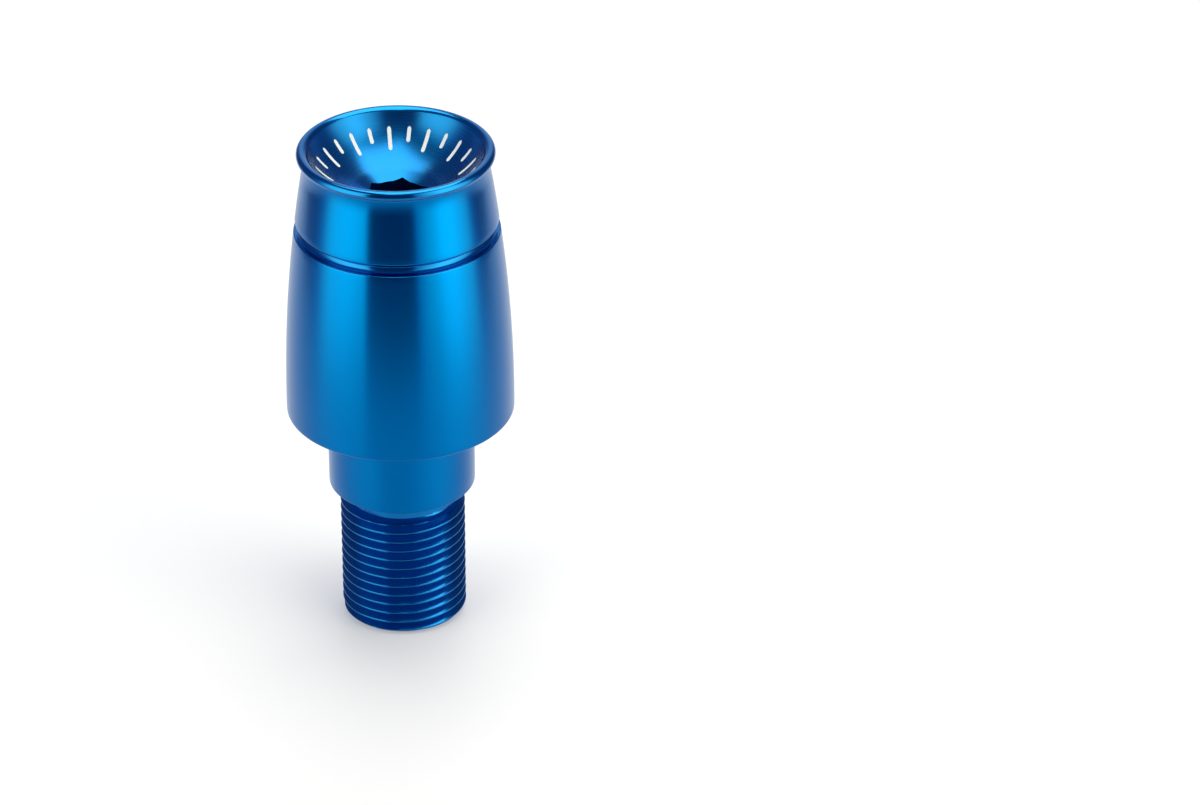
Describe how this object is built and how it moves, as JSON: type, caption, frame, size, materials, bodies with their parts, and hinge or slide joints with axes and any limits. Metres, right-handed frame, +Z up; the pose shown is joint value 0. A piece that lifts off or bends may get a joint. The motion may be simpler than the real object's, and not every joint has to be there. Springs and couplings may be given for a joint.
{
  "type": "bar end weight",
  "caption": "Turned aluminium bar end weight with a bowed barrel, a grooved collar, a dished end with a hex socket, and a threaded stub.",
  "frame": {"origin": "centre of the flat threaded end, which the part stands on", "axes": "+Z up the turning axis from the threaded end to the dished end; -Y is the side that faces the viewer"},
  "size_m": [0.0324, 0.0324, 0.0745],
  "materials": {
    "anodised_aluminium": "satin blue anodised"
  },
  "bodies": {
    "root": {"bar_end_weight": "anodised_aluminium"}
  },
  "joints": []
}
